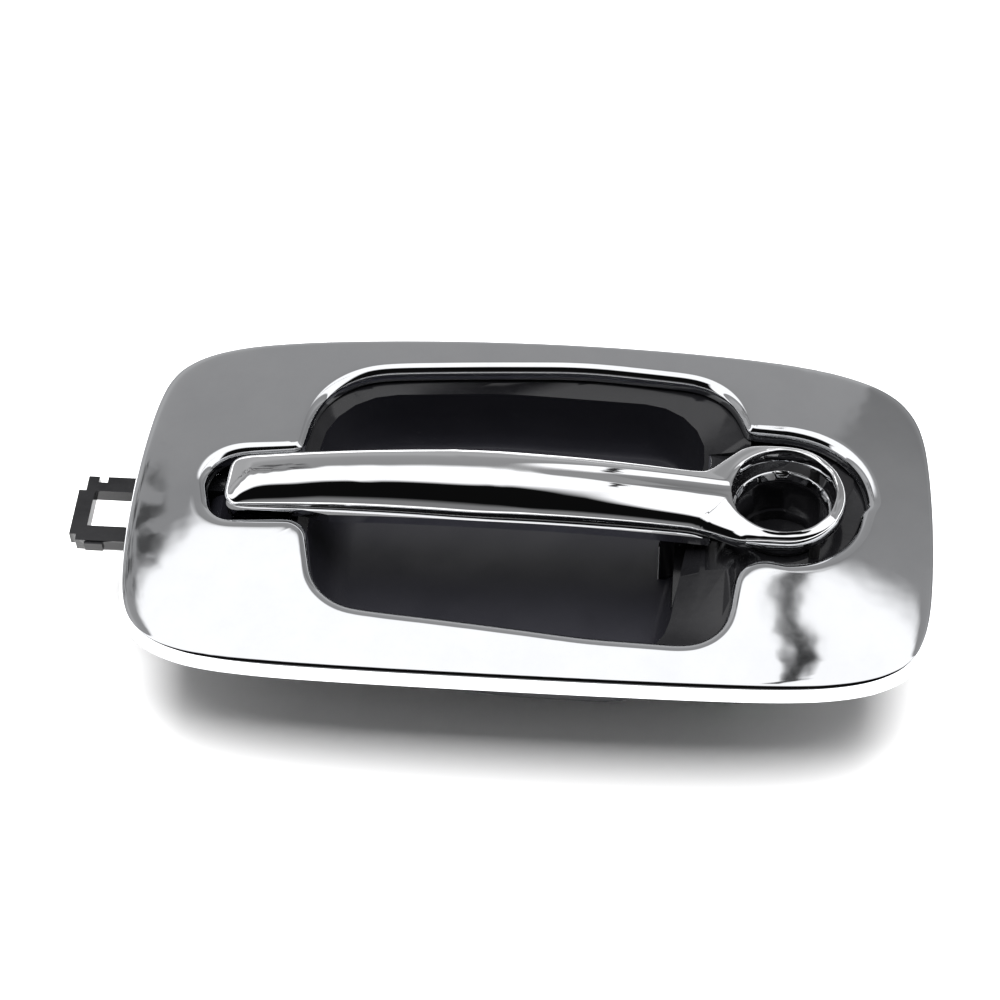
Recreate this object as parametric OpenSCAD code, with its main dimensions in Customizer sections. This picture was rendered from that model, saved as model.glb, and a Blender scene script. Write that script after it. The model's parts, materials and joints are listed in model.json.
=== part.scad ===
// Exterior car door handle: chrome bezel and pull grip on a black base that carries
// the hinge, the finger bowl, the lock pocket and the bell crank that pulls the latch rod.
// X runs along the handle from the hinge to the lock, Z is up and -Y points out of the door.
// The origin is the middle of the two mounting studs, on the outer face of the door skin.

/* [Bezel] */
// Half of the bezel's width
bezel_a = 108; // [100:0.5:130]
// Half of the bezel's height
bezel_b = 58; // [56:0.5:70]
// Height of the bezel's middle above the stud line
bezel_z = 32; // [28:0.5:40]
// Distance from the door skin to the top of the bezel's crown
bezel_front = 13; // [12:0.1:16]
// Fall of the crown near the left and right sides
crown_x = 4.3; // [2:0.1:5]
// Fall of the crown near the top and the bottom
crown_z = 2.1; // [1:0.1:3]
// Height of the bezel's side wall
skirt_h = 5; // [4:0.1:6]
// Thickness of the bezel's face
face_t = 2.5; // [2:0.1:3]
// Radius of the rolled bead around the opening
bead_r = 2.6; // [2:0.1:2.9]
// Depth of the bezel's wall inside the opening
lip_h = 4.2; // [3.6:0.1:5]

/* [Opening] */
// Distance from the bezel's right edge to the lock axis
lock_inset = 40.5; // [38:0.5:46]
// Height of the lock axis above the bezel's middle
lock_z = 3.8; // [1:0.1:6]
// Radius of the opening's lobe around the lock
lobe_r = 23.3; // [22:0.1:26]
// Distance from the bezel's left edge to the hinge lobe
lobe_inset = 19.5; // [17:0.5:24]
// Half of the hinge lobe's height
lobe_h = 12; // [11:0.5:14]
// Distance from the bezel's left edge to the finger opening
cup_inset = 47; // [44:0.5:52]
// Width of the bezel's band above the finger opening
band_top = 11; // [10:0.5:16]
// Width of the bezel's band below the finger opening
band_bottom = 10; // [8:0.5:14]

/* [Finger bowl] */
// Depth of the bowl's floor behind the door skin
floor_y = 15; // [12:0.5:18]
// Wall of the bowl
bowl_t = 2; // [1.6:0.1:2.4]

/* [Grip] */
// Distance from the door skin to the grip's crest
grip_front = 21.6; // [20:0.1:24]
// How far the grip's ends fall back from its crest
grip_bow = 6.4; // [4:0.1:7]
// Height of the grip bar
grip_h = 19.6; // [17:0.1:21]
// Depth of the grip's front shell
grip_d = 7.4; // [6:0.1:8]
// Outer radius of the grip's ring
ring_r = 16.8; // [16:0.1:18]
// Radius of the hole in the grip's ring
ring_hole_r = 13.8; // [13:0.1:14.2]
// Thickness of the grip's rear cover
back_t = 3; // [2.4:0.1:4]

/* [Lock] */
// Radius of the bore for the lock cylinder
lock_r = 12.2; // [11:0.1:12.6]
// Wall of the lock pocket
pocket_t = 2; // [1.6:0.1:2.2]

/* [Hinge] */
// Radius of the hinge pin
hinge_pin_r = 2.5; // [2:0.1:3]
// Distance from the bezel's left edge to the hinge axis
hinge_inset = 24; // [22:0.5:28]
// Depth of the hinge axis behind the door skin
hinge_y = 8; // [6:0.5:10]

/* [Bell crank] */
// Radius of the crank pin
crank_pin_r = 2.5; // [2:0.1:3]
// Length of the arm that the pull leg moves
arm_in = 25.5; // [24:0.5:26]
// Length of the arm that moves the latch rod
arm_out = 14; // [12:0.5:15]
// Thickness of the crank's arms
arm_t = 2.5; // [2:0.1:3]
// Angle of the input arm from upright, at rest and at full pull
arm_deg = 27; // [24:1:30]
// Radius of the hole for the latch rod
rod_r = 2.1; // [1.8:0.1:2.5]

/* [Mounting] */
// Distance from the bezel's side edge to a mounting stud
stud_inset = 28; // [26:0.5:32]
// Radius of a mounting stud
stud_r = 3; // [2.5:0.1:4]
// Reach of the studs behind the door skin
stud_len = 24; // [18:1:30]
// Thickness of the foam gasket
gasket_t = 2; // [1.5:0.1:3]
// Thickness of the base's mounting flange
flange_t = 2; // [1.6:0.1:2.1]
// Distance from the bezel's left edge to the end of the hook tab
tab_reach = 18; // [14:0.5:24]

/* [Clearances] */
// Radial clearance of a pin in its bearing
run_gap = 0.05; // [0.02:0.01:0.1]
// Gap between pieces that lie side by side
side_gap = 0.3; // [0.2:0.05:0.5]
// Gap between faces that seat on each other
seat_gap = 0.05; // [0.02:0.01:0.1]

/* [Hidden] */

chrome = "gainsboro";
gloss_black = "#1c1c1e";
matte_black = "#2b2c2f";
steel = "silver";
rubber = "#202020";

arc_n = 5;          // steps around each fillet of an outline
leg_n = 4;          // steps along each straight leg of an outline
eps = 0.01;

// Places of the main features, measured from the bezel's middle
lock_x = bezel_a - lock_inset;
stud_x = bezel_a - stud_inset;
hinge_x = -bezel_a + hinge_inset;
cup_l = -bezel_a + cup_inset;
cup_r = lock_x - 10;
cup_t = bezel_b - band_top;
cup_b = -bezel_b + band_bottom;
lobe_l = -bezel_a + lobe_inset;
lobe_top = lock_z + lobe_r;
lobe_bot = lock_z - lobe_r;

// Flange and gasket planes
flange_back = -gasket_t;
flange_front = flange_back - flange_t;

// ---- outlines -------------------------------------------------------------------------
function cross2(a, b) = a[0] * b[1] - a[1] * b[0];
function unit2(v) = v / norm(v);

// Points of one rounded corner of an outline, and of the leg after it
function corner(p, v, q, r, after) =
    let (a = unit2(p - v), b = unit2(q - v),
         half = acos(max(-1, min(1, a * b))) / 2,
         d = r / tan(half),
         m = unit2(a + b),
         c = v + m * (r / sin(half)),
         s = v + a * d,
         e = v + b * d,
         turn = (180 - 2 * half) * sign(cross2(-a, b)),
         start = atan2(s[1] - c[1], s[0] - c[0]))
    concat([for (i = [0:arc_n]) c + r * [cos(start + turn * i / arc_n), sin(start + turn * i / arc_n)]],
        [for (i = [1:leg_n - 1]) e + (after - e) * i / leg_n]);

// Start of the fillet at a corner
function fillet_start(p, v, q, r) =
    let (a = unit2(p - v), b = unit2(q - v), half = acos(max(-1, min(1, a * b))) / 2)
    v + a * (r / tan(half));

// Outline through corners [x, z, r], with the same number of points for each corner
function rounded(c) =
    let (n = len(c), p = [for (k = c) [k[0], k[1]]])
    [for (k = [0:n - 1])
        let (prev = p[(k + n - 1) % n], this = p[k], next = p[(k + 1) % n], over = p[(k + 2) % n])
        each corner(prev, this, next, c[k][2], fillet_start(this, next, over, c[(k + 1) % n][2]))];

// Place of outline point i along the corners: whole numbers are the middles of the fillets
corner_n = arc_n + leg_n;
function place(i) =
    let (k = floor(i / corner_n), j = i % corner_n)
    j <= arc_n ? k - 0.2 + 0.4 * j / arc_n : k + 0.2 + 0.6 * (j - arc_n) / leg_n;

// Value at place u in a list that has one value for each corner and closes with its last value
function along(list, u) =
    let (n = len(list) - 1, w = u < 0 ? u + n : u, k = min(n - 1, floor(w)), f = w - k)
    list[k] * (1 - f) + list[k + 1] * f;

// Outward normal of outline point i
function normal_at(p, i) =
    let (n = len(p), t = unit2(p[(i + 1) % n] - p[(i + n - 1) % n]))
    [t[1], -t[0]];

function grown(p, d) = [for (i = [0:len(p) - 1]) p[i] + d * normal_at(p, i)];
function mixed(p, q, f) = [for (i = [0:len(p) - 1]) p[i] * (1 - f) + q[i] * f];

// Sideways shape of the bezel's face
function crown(x, z) =
    -bezel_front + crown_x * pow(1.08 * x / bezel_a, 2) + crown_z * pow(1.16 * z / bezel_b, 2);

// Edge of the bezel in direction a: a bowed rectangle with soft corners
corner_power = [6.65, 8.2, 7.1, 6.8];
side_sag = 4.3;
top_sag = 4;
function edge_at(a, in = 0) =
    let (c = cos(a), s = sin(a), p = corner_power[floor((a + 720) % 360 / 90)],
         r = pow(pow(abs(c), p) + pow(abs(s), p), -1 / p))
    [r * c * (bezel_a - in - side_sag * pow(r * s, 2)), r * s * (bezel_b - in - top_sag * pow(r * c, 2))];

// Corners of the opening, and the direction on the bezel's edge that each one faces
opening_corners = [
    [lock_x + lobe_r, lobe_bot, lobe_r - 1.5],
    [lock_x + lobe_r, lobe_top, lobe_r - 1.5],
    [cup_r, lobe_top + 0.5, 3],
    [cup_r - 5, cup_t - 2.4, 17],
    [12, cup_t + 0.4, 150],
    [cup_l + 1, cup_t - 3.5, 21],
    [cup_l - 2.5, lobe_h + 2.2, 3],
    [lobe_l, lobe_h, 10.5],
    [lobe_l, -lobe_h, 9],
    [cup_l, -lobe_h + 0.5, 4],
    [cup_l + 1.5, cup_b + 7.5, 20],
    [18, cup_b - 0.2, 150],
    [cup_r - 0.5, cup_b - 0.6, 17],
    [cup_r + 2, lobe_bot + 0.5, 5]];
spokes = [-22, 24, 44, 57, 83, 127, 142, 166, 194, 216, 232, 277, 305, 320, 338];
opening = rounded(opening_corners);
function edge(in = 0) = [for (i = [0:len(opening) - 1]) edge_at(along(spokes, place(i)), in)];

// ---- lofts ----------------------------------------------------------------------------
// Closed solid from rings of equally many points, joined into a tube and back to the first ring
module loft_ring(rings) {
    n = len(rings[0]);
    m = len(rings);
    faces = [for (k = [0:m - 1], i = [0:n - 1])
        let (a = k * n + i, b = k * n + (i + 1) % n,
             c = (k + 1) % m * n + (i + 1) % n, d = (k + 1) % m * n + i)
        each [[a, b, c], [a, c, d]]];
    polyhedron([for (r = rings) each r], faces, convexity = 10);
}

// Closed solid from rings, with a flat cap on the first and the last ring
module loft_cup(rings) {
    n = len(rings[0]);
    m = len(rings);
    faces = [for (k = [0:m - 2], i = [0:n - 1])
        let (a = k * n + i, b = k * n + (i + 1) % n, c = (k + 1) * n + (i + 1) % n, d = (k + 1) * n + i)
        each [[a, b, c], [a, c, d]]];
    polyhedron([for (r = rings) each r],
        concat(faces, [[for (i = [n - 1:-1:0]) i]], [[for (i = [0:n - 1]) (m - 1) * n + i]]), convexity = 10);
}

function at_y(p, y) = [for (q = p) [q[0], y, q[1]]];
function on_crown(p, dy) = [for (q = p) [q[0], crown(q[0], q[1]) + dy, q[1]]];

module on_bezel() { translate([0, 0, bezel_z]) children(); }

// Plate of an outline between two depths
module slab(y0, y1) { translate([0, y1, 0]) rotate([90, 0, 0]) linear_extrude(y1 - y0) children(); }

// Round bar along Y
module rod_y(r, y0, y1) { translate([0, y1, 0]) rotate([90, 0, 0]) cylinder(r = r, h = y1 - y0, $fn = 64); }

// Round bar along X
module rod_x(r, x0, x1) { translate([x0, 0, 0]) rotate([0, 90, 0]) cylinder(r = r, h = x1 - x0, $fn = 64); }

// ---- bezel ----------------------------------------------------------------------------
edge_r = 1.2;
skirt_t = 1.8;
boss_r = 3.4;
screw_r = 1.4;
screw_places = [[-bezel_a + 21, bezel_b - 22], [-bezel_a + 21, -bezel_b + 20],
    [bezel_a - 23, bezel_b - 21], [bezel_a - 21, -bezel_b + 20]];

// Distance of the hole's rim inside the outline at each corner of it, and width of the rolled bead
rim_in = [3, 0, 0, 0.3, 0.3, 0.5, 0.5, 0, 2.2, 2.4, 4.4, 4.6, 4.6, 4, 3];
bead_wide = [3.4, 3.2, 2.3, 3.2, 3.2, 3.2, 2.4, 3.2, 3.4, 3.4, 3.4, 3.4, 3.4, 3.4, 3.4];
function bead_line(f) = [for (i = [0:len(opening) - 1])
    opening[i] + (f * along(bead_wide, place(i)) - along(rim_in, place(i))) * normal_at(opening, i)];

module bezel() {
    f_open = bead_line(1);
    rings = [
        on_crown(bead_line(0), lip_h),
        on_crown(bead_line(0), bead_r),
        for (t = [65, 42, 22]) on_crown(bead_line(1 - sin(t)), bead_r * (1 - cos(t))),
        on_crown(f_open, 0),
        on_crown(mixed(f_open, edge(edge_r), 0.12), 0),
        on_crown(mixed(f_open, edge(edge_r), 0.35), 0),
        on_crown(mixed(f_open, edge(edge_r), 0.65), 0),
        on_crown(mixed(f_open, edge(edge_r), 0.9), 0),
        on_crown(edge(edge_r), 0),
        on_crown(edge(edge_r * (1 - sin(45))), edge_r * (1 - cos(45))),
        on_crown(edge(0), edge_r),
        on_crown(edge(-0.8), skirt_h),
        on_crown(edge(skirt_t - 0.8), skirt_h),
        on_crown(edge(skirt_t), face_t),
        on_crown(mixed(f_open, edge(skirt_t), 0.5), face_t),
        on_crown(bead_line(1), face_t),
        on_crown(bead_line(0.5), lip_h)];
    color(chrome) on_bezel() difference() {
        union() {
            loft_ring(rings);
            for (p = screw_places) translate([p[0], 0, p[1]])
                rod_y(boss_r, crown(p[0], p[1]) + face_t - 0.6, flange_front - seat_gap);
        }
        for (p = screw_places) translate([p[0], 0, p[1]])
            rod_y(screw_r + eps, crown(p[0], p[1]) + 1.4, flange_front + 1);
    }
}

// ---- places inside the base -------------------------------------------------------------
knuckle_h = 15;                      // height of the hinge arm's knuckle
knuckle_r = hinge_pin_r + 3;
bush_t = 1;                          // wall of a bush
leg_x = lock_x - 23.5;               // middle of the pull leg
leg_z = 1.5;
foot_screw_x = leg_x - 12.2;          // screw through the leg's foot
leg_h = 7;                           // height of the leg
leg_wall = 1.5;                      // wall beside the crank's tip
tip_r = 2.5;                         // round end of the crank's input arm
tip_room = 2.6;                      // room beside the tip, for the leg's swing
leg_w = arm_t + 2 * tip_room + 2 * leg_wall;
crank_y = floor_y + 2;
crank_z = leg_z - arm_in * (1 + cos(arm_deg)) / 2;
tip_run = arm_in * sin(arm_deg);
window_l = 2 * (tip_r + 1.8);           // length of the leg's window
leg_end = crank_y + tip_run + window_l / 2 + 2;
wall_t = 1.6;                        // walls of the base's tunnel and pockets
leg_room_l = 1.8;                    // room for the leg's swing, towards the hinge
leg_room_r = 2.9;
tunnel_y = -5;
tunnel_h = leg_h / 2 + 1 + wall_t;
tunnel_l = leg_x - leg_w / 2 - leg_room_l - wall_t;
tunnel_r = leg_x + leg_w / 2 + leg_room_r + wall_t;
hub_r = crank_pin_r + bush_t + 1.5;
ear_t = 2.5;
drive_end = crank_y + hub_r + 2;
drive_l = leg_x - arm_t / 2 - 1 - ear_t;
drive_r = leg_x + arm_t / 2 + 4;
hub_l = leg_x - arm_t / 2;
hub_len = 17;
crank_ear_x = hub_l + hub_len + 0.5;

// ---- finger bowl ------------------------------------------------------------------------
// Outline of the bowl between its left, right, bottom and top sides
function bowl_line(l, r, b, t, k = 0, lean = 0) = rounded([
    [r, b - 0.3, 17 + k], [r - 1 + lean, t - 1.2, 18 + k], [r - 46, t + 1.2, 150 + k],
    [l, t - 2.4, 21 + k], [l, b + 7, 20 + k], [r - 40, b - 0.2, 150 + k]]);

mouth = [cup_l + 1.5, leg_x - 7, cup_b + 1, cup_t - 5];
bowl_end = [cup_l + 12, leg_x - 13, cup_b + 6, cup_t - 9];
bowl_lean = 13;                       // how much further right the bowl reaches at its top
surround_t = 1.5;

// The bowl's outline at part f of its depth, grown by d
function bowl_at(f, d) =
    let (m = mouth * (1 - f) + bowl_end * f)
    bowl_line(m[0] - d, m[1] + d, m[2] - d, m[3] + d, d - 8 * f, bowl_lean);

// Side of the crank's room in Y and Z, with w around the arm and the hub
function drive_side(w, back) =
    let (side = [-cos(arm_deg), -sin(arm_deg)],
         tip = [crank_y - tip_run, crank_z + arm_in * cos(arm_deg)] + (tip_r + w) * side,
         pivot = [crank_y, crank_z] + (hub_r + w) * side,
         low = crank_z - hub_r - w)
    [[tip[0], leg_z], tip, pivot, [pivot[0], low], [back, low], [back, leg_z]];

// Outside of the leg tunnel and the crank's room
module drive_body(gap) {
    translate([tunnel_l - gap, tunnel_y - gap, leg_z - tunnel_h - gap])
        cube([tunnel_r - tunnel_l + 2 * gap, drive_end - tunnel_y + 2 * gap, 2 * tunnel_h + 2 * gap]);
    translate([drive_l - gap, 0, 0]) rotate([90, 0, 90])
        linear_extrude(drive_r - drive_l + 2 * gap) polygon(drive_side(1 + wall_t + gap, drive_end + gap));
}

module bowl_surround() {
    top = lip_h + side_gap;
    end_y = flange_front - seat_gap;
    lip = on_crown(bowl_line(cup_l - 1, cup_r + 0.6, cup_b - 1, cup_t + 0.8), top);
    lip_out = on_crown(bowl_line(cup_l - 1 - surround_t, cup_r + 0.6 + surround_t, cup_b - 1 - surround_t,
        cup_t + 0.8 + surround_t, surround_t), top);
    low = at_y(bowl_at(0, 0), end_y);
    base_out = [for (q = lip_out) [q[0], end_y, q[2]]];
    rings = [base_out, low, mixed(lip, low, 0.7), mixed(lip, low, 0.3), lip, lip_out];
    color(gloss_black) on_bezel() difference() {
        loft_ring(rings);
        drive_body(side_gap);
        translate([cup_r - 10, -20, lobe_bot + 3]) cube([20, 40, 2 * lobe_r - 6]);
        translate([leg_x - 16, -20, leg_z - 6]) cube([25, 40, 12.5]);
    }
}

module hand_cup() {
    y0 = flange_front + seat_gap;
    depth = floor_y - y0;
    steps = [0, 25, 50, 70, 83];
    rings = [
        at_y(bowl_at(1.25, 0), floor_y),
        at_y(bowl_at(1, 0), floor_y),
        for (k = [len(steps) - 1:-1:0]) at_y(bowl_at(1 - cos(steps[k]), 0), y0 + depth * sin(steps[k])),
        for (a = steps) at_y(bowl_at(1 - cos(a), bowl_t), y0 + (depth + bowl_t) * sin(a)),
        at_y(bowl_at(1, bowl_t), floor_y + bowl_t),
        at_y(bowl_at(1.25, bowl_t), floor_y + bowl_t)];
    color(matte_black) on_bezel() difference() {
        loft_cup(rings);
        drive_body(side_gap);
    }
}

// ---- base frame ---------------------------------------------------------------------------
pocket_r = lock_r + pocket_t;
pocket_end = floor_y - 2;
lock_seat = pocket_end - wall_t - 3.8;  // step that the lock cylinder seats on
lobe_back = hinge_y + knuckle_r + 2;  // rear wall of the hinge pocket
hinge_ear_t = 3.5;
ear_z = knuckle_h / 2 + side_gap;
hinge_l = lobe_l - 1.5;               // sides of the hinge pocket
hinge_r = cup_l - 3.5;
hinge_top = lobe_h + 1;
tab_y = 4;
tab_t = 4;
tab_h = 22.5;
stop_deg = 55;                        // place of the bump stops around the lock
stop_r = 1.4;
stop_place = ring_r - 1.5;

module hook_tab() {
    l = -bezel_a - tab_reach;
    translate([0, tab_y, 1.2]) difference() {
        union() {
            translate([l + 2, 0, -tab_h / 2 + 0.5]) cube([hinge_l - l, tab_t, tab_h]);
            translate([l, 0, -tab_h / 2 + 2.5]) cube([4, tab_t, tab_h - 7]);
            translate([l + 4.5, 0.5, -tab_h / 2 - 0.3]) cube([5, tab_t - 1, 2]);
        }
        translate([l + 4.5, -1, -5.6]) cube([15.5, tab_t + 2, 12.2]);
        translate([l + 19, -1, -3.2]) cube([3, tab_t + 2, 6.5]);
        translate([l + 5, -1, tab_h / 2 - 1.5]) cube([2.5, tab_t + 2, 4]);
    }
}

module base_frame() {
    color(gloss_black) on_bezel() difference() {
        union() {
            slab(flange_front, flange_back) polygon(edge(2.2));
            // Hinge pocket with its two ears
            translate([hinge_l - wall_t, flange_front + eps, -hinge_top - wall_t])
                cube([hinge_r - hinge_l + 2 * wall_t, lobe_back + wall_t - flange_front, 2 * (hinge_top + wall_t)]);
            // Lock pocket
            translate([lock_x, 0, lock_z]) rod_y(pocket_r, flange_front + eps, pocket_end);
            // Webs from the lock pocket to the flange
            for (a = [20, 90, -35]) translate([lock_x, flange_back - eps, lock_z]) rotate([0, -a, 0])
                translate([pocket_r - 1, 0, -0.8]) cube([7, pocket_end - flange_back - 4, 1.6]);
            // Bridge from the leg tunnel to the lock pocket
            translate([tunnel_r - 1, flange_front + eps, leg_z - 5]) cube([4, pocket_end - flange_front - 4, 10]);
            // Right ear of the crank
            translate([crank_ear_x, 0, 0]) rotate([90, 0, 90]) linear_extrude(ear_t) polygon([
                [flange_back - eps, crank_z + 5], [crank_y, crank_z + hub_r], [crank_y + hub_r, crank_z],
                [crank_y, crank_z - hub_r], [flange_back - eps, crank_z - 12]]);
            for (p = screw_places) translate([p[0], 0, p[1]]) rod_y(boss_r, flange_back - eps, 3);
            for (s = [-1, 1]) translate([s * stud_x, 0, -bezel_z]) rod_y(stud_r + 4, flange_back - eps, -0.4);
            hook_tab();
        }
        // Mouth of the bowl
        slab(flange_front - 1, flange_back + 1) polygon(bowl_at(0, bowl_t + seat_gap));
        leg_room(wall_t / 2);
        // Room in the hinge pocket: in front of the ears, between them and beside them
        translate([hinge_l, -20, -hinge_top]) cube([hinge_r - hinge_l, 20 + hinge_y - knuckle_r - 1, 2 * hinge_top]);
        translate([hinge_l, -1, -ear_z]) cube([hinge_r - hinge_l, lobe_back + 1, 2 * ear_z]);
        translate([hinge_x + 7, -1, -hinge_top]) cube([hinge_r - hinge_x - 7, lobe_back + 1, 2 * hinge_top]);
        translate([hinge_x, hinge_y, -20]) cylinder(r = hinge_pin_r + seat_gap, h = 40, $fn = 64);
        // Bore for the lock cylinder, and the slot for its tail
        translate([lock_x, 0, lock_z]) rod_y(lock_r, -20, lock_seat);
        translate([lock_x, 0, lock_z]) rod_y(lock_r - 0.8, -20, pocket_end - wall_t);
        translate([lock_x + 3, 0, lock_z - 5]) cube([6, 30, 10]);
        translate([0, crank_y, crank_z]) rod_x(crank_pin_r + seat_gap, drive_l, crank_ear_x + ear_t + 1);
        for (p = screw_places) translate([p[0], 0, p[1]]) rod_y(screw_r + 0.3, -10, 10);
        for (s = [-1, 1]) translate([s * stud_x, 0, -bezel_z]) rod_y(stud_r + 0.6 + seat_gap, -10, 10);
        for (s = [-1, 1]) translate([lock_x, 0, lock_z]) rotate([0, s * stop_deg, 0])
            translate([stop_place, 0, 0]) rod_y(stop_r / 2 + seat_gap, -10, 10);
    }
    color(gloss_black) on_bezel() lock_floor();
    color(gloss_black) on_bezel() drive_shell();
}

// Ledge, ribs and hollow peg on the floor of the lock pocket
module lock_floor() {
    y1 = pocket_end - wall_t + eps;
    intersection() {
        translate([lock_x, 0, lock_z]) rod_y(lock_r + 0.5, 0, pocket_end);
        union() {
            translate([lock_x - 6, y1 - 3.5, lock_z + 3.4]) cube([12, 3.5, 1.6]);
            for (x = [-8.6, -6.4]) translate([lock_x + x, y1 - 2.5, lock_z - 9]) cube([0.9, 2.5, 17]);
            translate([lock_x - 1, 0, lock_z - 2.4]) difference() {
                rod_y(1.9, y1 - 3, y1);
                rod_y(1, y1 - 4, y1 - eps);
            }
        }
    }
}

module leg_room(grow) {
    translate([tunnel_l + wall_t - grow, tunnel_y - 1, leg_z - tunnel_h + wall_t - grow])
        cube([tunnel_r - tunnel_l - 2 * wall_t + 2 * grow, 60, 2 * (tunnel_h - wall_t + grow)]);
}

// Walls around the leg and the crank's input arm
module drive_shell() {
    difference() {
        drive_body(0);
        leg_room(0);
        translate([drive_l + ear_t, 0, 0]) rotate([90, 0, 90])
            linear_extrude(drive_r) polygon(drive_side(1, drive_end + 20));
        translate([0, crank_y, crank_z]) rod_x(crank_pin_r + seat_gap, drive_l - 1, drive_r + 1);
    }
}

// ---- lock parts -----------------------------------------------------------------------------
collar_front = -7.6;
collar_r = ring_hole_r - 0.3;

module lock_collar() {
    bore = lock_r + 0.2;
    color(chrome) on_bezel() translate([lock_x, 0, lock_z]) difference() {
        rotate([-90, 0, 0]) rotate_extrude($fn = 96) polygon([
            [bore, flange_front - 0.5], [collar_r, flange_front - 0.5], [collar_r, collar_front + 0.6],
            [collar_r - 0.25, collar_front + 0.15], [collar_r - 0.6, collar_front],
            [bore + 0.2, collar_front + 0.1], [bore, collar_front + 0.4]]);
        for (a = [25, 90, 155]) rotate([0, -a, 0])
            translate([bore - 2, collar_front - 1, -1.7]) cube([2.6, 2.2, 3.4]);
    }
}

module lock_seal() {
    color(rubber) on_bezel() translate([lock_x, 0, lock_z]) difference() {
        rod_y(collar_r - 0.1, flange_front - 0.45, flange_front - seat_gap);
        rod_y(lock_r + 0.3, flange_front - 1, flange_front + 1);
    }
}

// Spring clip that holds the lock cylinder, around the pocket
module lock_clip() {
    y0 = pocket_end - 3;
    color(steel) on_bezel() translate([lock_x, 0, lock_z]) difference() {
        union() {
            rod_y(pocket_r + 2.2, y0, y0 + 1);
            translate([-pocket_r - 2.2, y0, -pocket_r - 1]) cube([2 * pocket_r + 4.4, 1, pocket_r + 1]);
        }
        rod_y(pocket_r + seat_gap, y0 - 1, y0 + 2);
        translate([-pocket_r - seat_gap, y0 - 1, -40]) cube([2 * (pocket_r + seat_gap), 3, 40]);
        translate([-40, y0 - 1, -40]) cube([28.5, 3, 46.5]);
    }
}

// ---- grip -------------------------------------------------------------------------------------
grip_z = 0.4;                         // middle of the grip bar
grip_l = hinge_x + 1;                 // left end of the grip
grip_mid = (grip_l + lock_x - ring_hole_r) / 2;
grip_half = lock_x - ring_hole_r - grip_mid;
g_top = grip_z + grip_h / 2;
g_bot = grip_z - grip_h / 2;
end_d = grip_d - 2.4;                 // depth of the shell at its ends
spine_z = grip_z + 1.6;               // height of the crest
slot = 1.2;                           // half of the flat strip along the crest
crest_y = -grip_front;
back_y = crest_y + grip_d;
back_bow = grip_bow + end_d - grip_d;
back_arc = (pow(grip_half, 2) + pow(back_bow, 2)) / (2 * back_bow);
ring_back = back_y + back_bow;

ring_far = ring_r / cos(30);
grip_corners = [
    [lock_x + ring_far / 2, lock_z - ring_r, ring_r - 1],
    [lock_x + ring_far, lock_z, ring_r - 1],
    [lock_x + ring_far / 2, lock_z + ring_r, ring_r - 1],
    [lock_x - 11, lock_z + ring_r - 0.2, 8],
    [lock_x - 21.5, g_top - 0.4, 9],
    [grip_mid, g_top + 0.5, 300],
    [grip_l + 1.5, g_top - 1.8, 4],
    [grip_l, g_bot + 2.8, 5],
    [grip_mid, g_bot, 300],
    [lock_x - 23, g_bot + 0.8, 14],
    [lock_x - 10.5, lock_z - ring_r + 0.3, 10]];
grip_line = rounded(grip_corners);

// The first and last points that look at the ring's hole from the bar; between them lies the crest
crest_first = 4 * corner_n + 3;
crest_last = 9 * corner_n + 2;
hole_deg = [-60, 0, 60, 120, 175, 175, 175, 185, 185, 185, 235, 300];
crest_x = [0, 0, 0, 0, lock_x - ring_hole_r, grip_mid, grip_l + 9, grip_l + 9, grip_mid,
    lock_x - ring_hole_r, 0, 0];
crest_up = [0, 0, 0, 0, lock_z + slot, spine_z + slot, spine_z + slot, spine_z - slot, spine_z - slot,
    lock_z - slot, 0, 0];
ring_part = [1, 1, 1, 1, 0.5, 0, 0, 0, 0, 0.5, 1, 1];
top_part = [0, 0, 1, 1, 1, 1, 1, 0, 0, 0, 0, 0];

// Place and height of each ring of the shell's front, from the crest or the hole to the edge
top_in = [1, 0.8, 0.58, 0.4, 0.16, 0.05, 0];
top_up = [1, 0.99, 0.95, 0.87, 0.74, 0.55, 0.28];
low_in = [1, 0.8, 0.6, 0.4, 0.2, 0.07, 0];
low_up = [1, 0.975, 0.91, 0.79, 0.58, 0.34, 0.1];
hole_in = [1, 0.9, 0.72, 0.5, 0.33, 0.1, 0];
hole_up = [0.8, 0.97, 1, 0.9, 0.88, 0.72, 0.3];
bead_at = [0, 0.3, 0.9, 1.7, 99, 99, 99];

function blend3(a, b, c, i) =
    let (u = place(i), r = along(ring_part, u), t = along(top_part, u))
    r * a + (1 - r) * (t * b + (1 - t) * c);

function inner_at(i, hole) =
    let (u = place(i))
    u > 6 && u < 7 ? [grip_l + 9 - slot * sin((u - 6) * 180), spine_z + slot * cos((u - 6) * 180)] :
    i > crest_first && i < crest_last ? [along(crest_x, u), along(crest_up, u)] :
    [lock_x, lock_z] + hole * [cos(along(hole_deg, u)), sin(along(hole_deg, u))];

function rear(x) = back_y + back_bow * min(1, pow((x - grip_mid) / grip_half, 2));
function depth_at(x) = grip_d + (end_d - grip_d) * min(1, pow((x - grip_mid) / grip_half, 2));

function shell_point(i, in, up, hole) =
    let (q = grip_line[i] * (1 - in) + inner_at(i, hole) * in)
    [q[0], rear(q[0]) - depth_at(q[0]) * up, q[1]];

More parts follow.
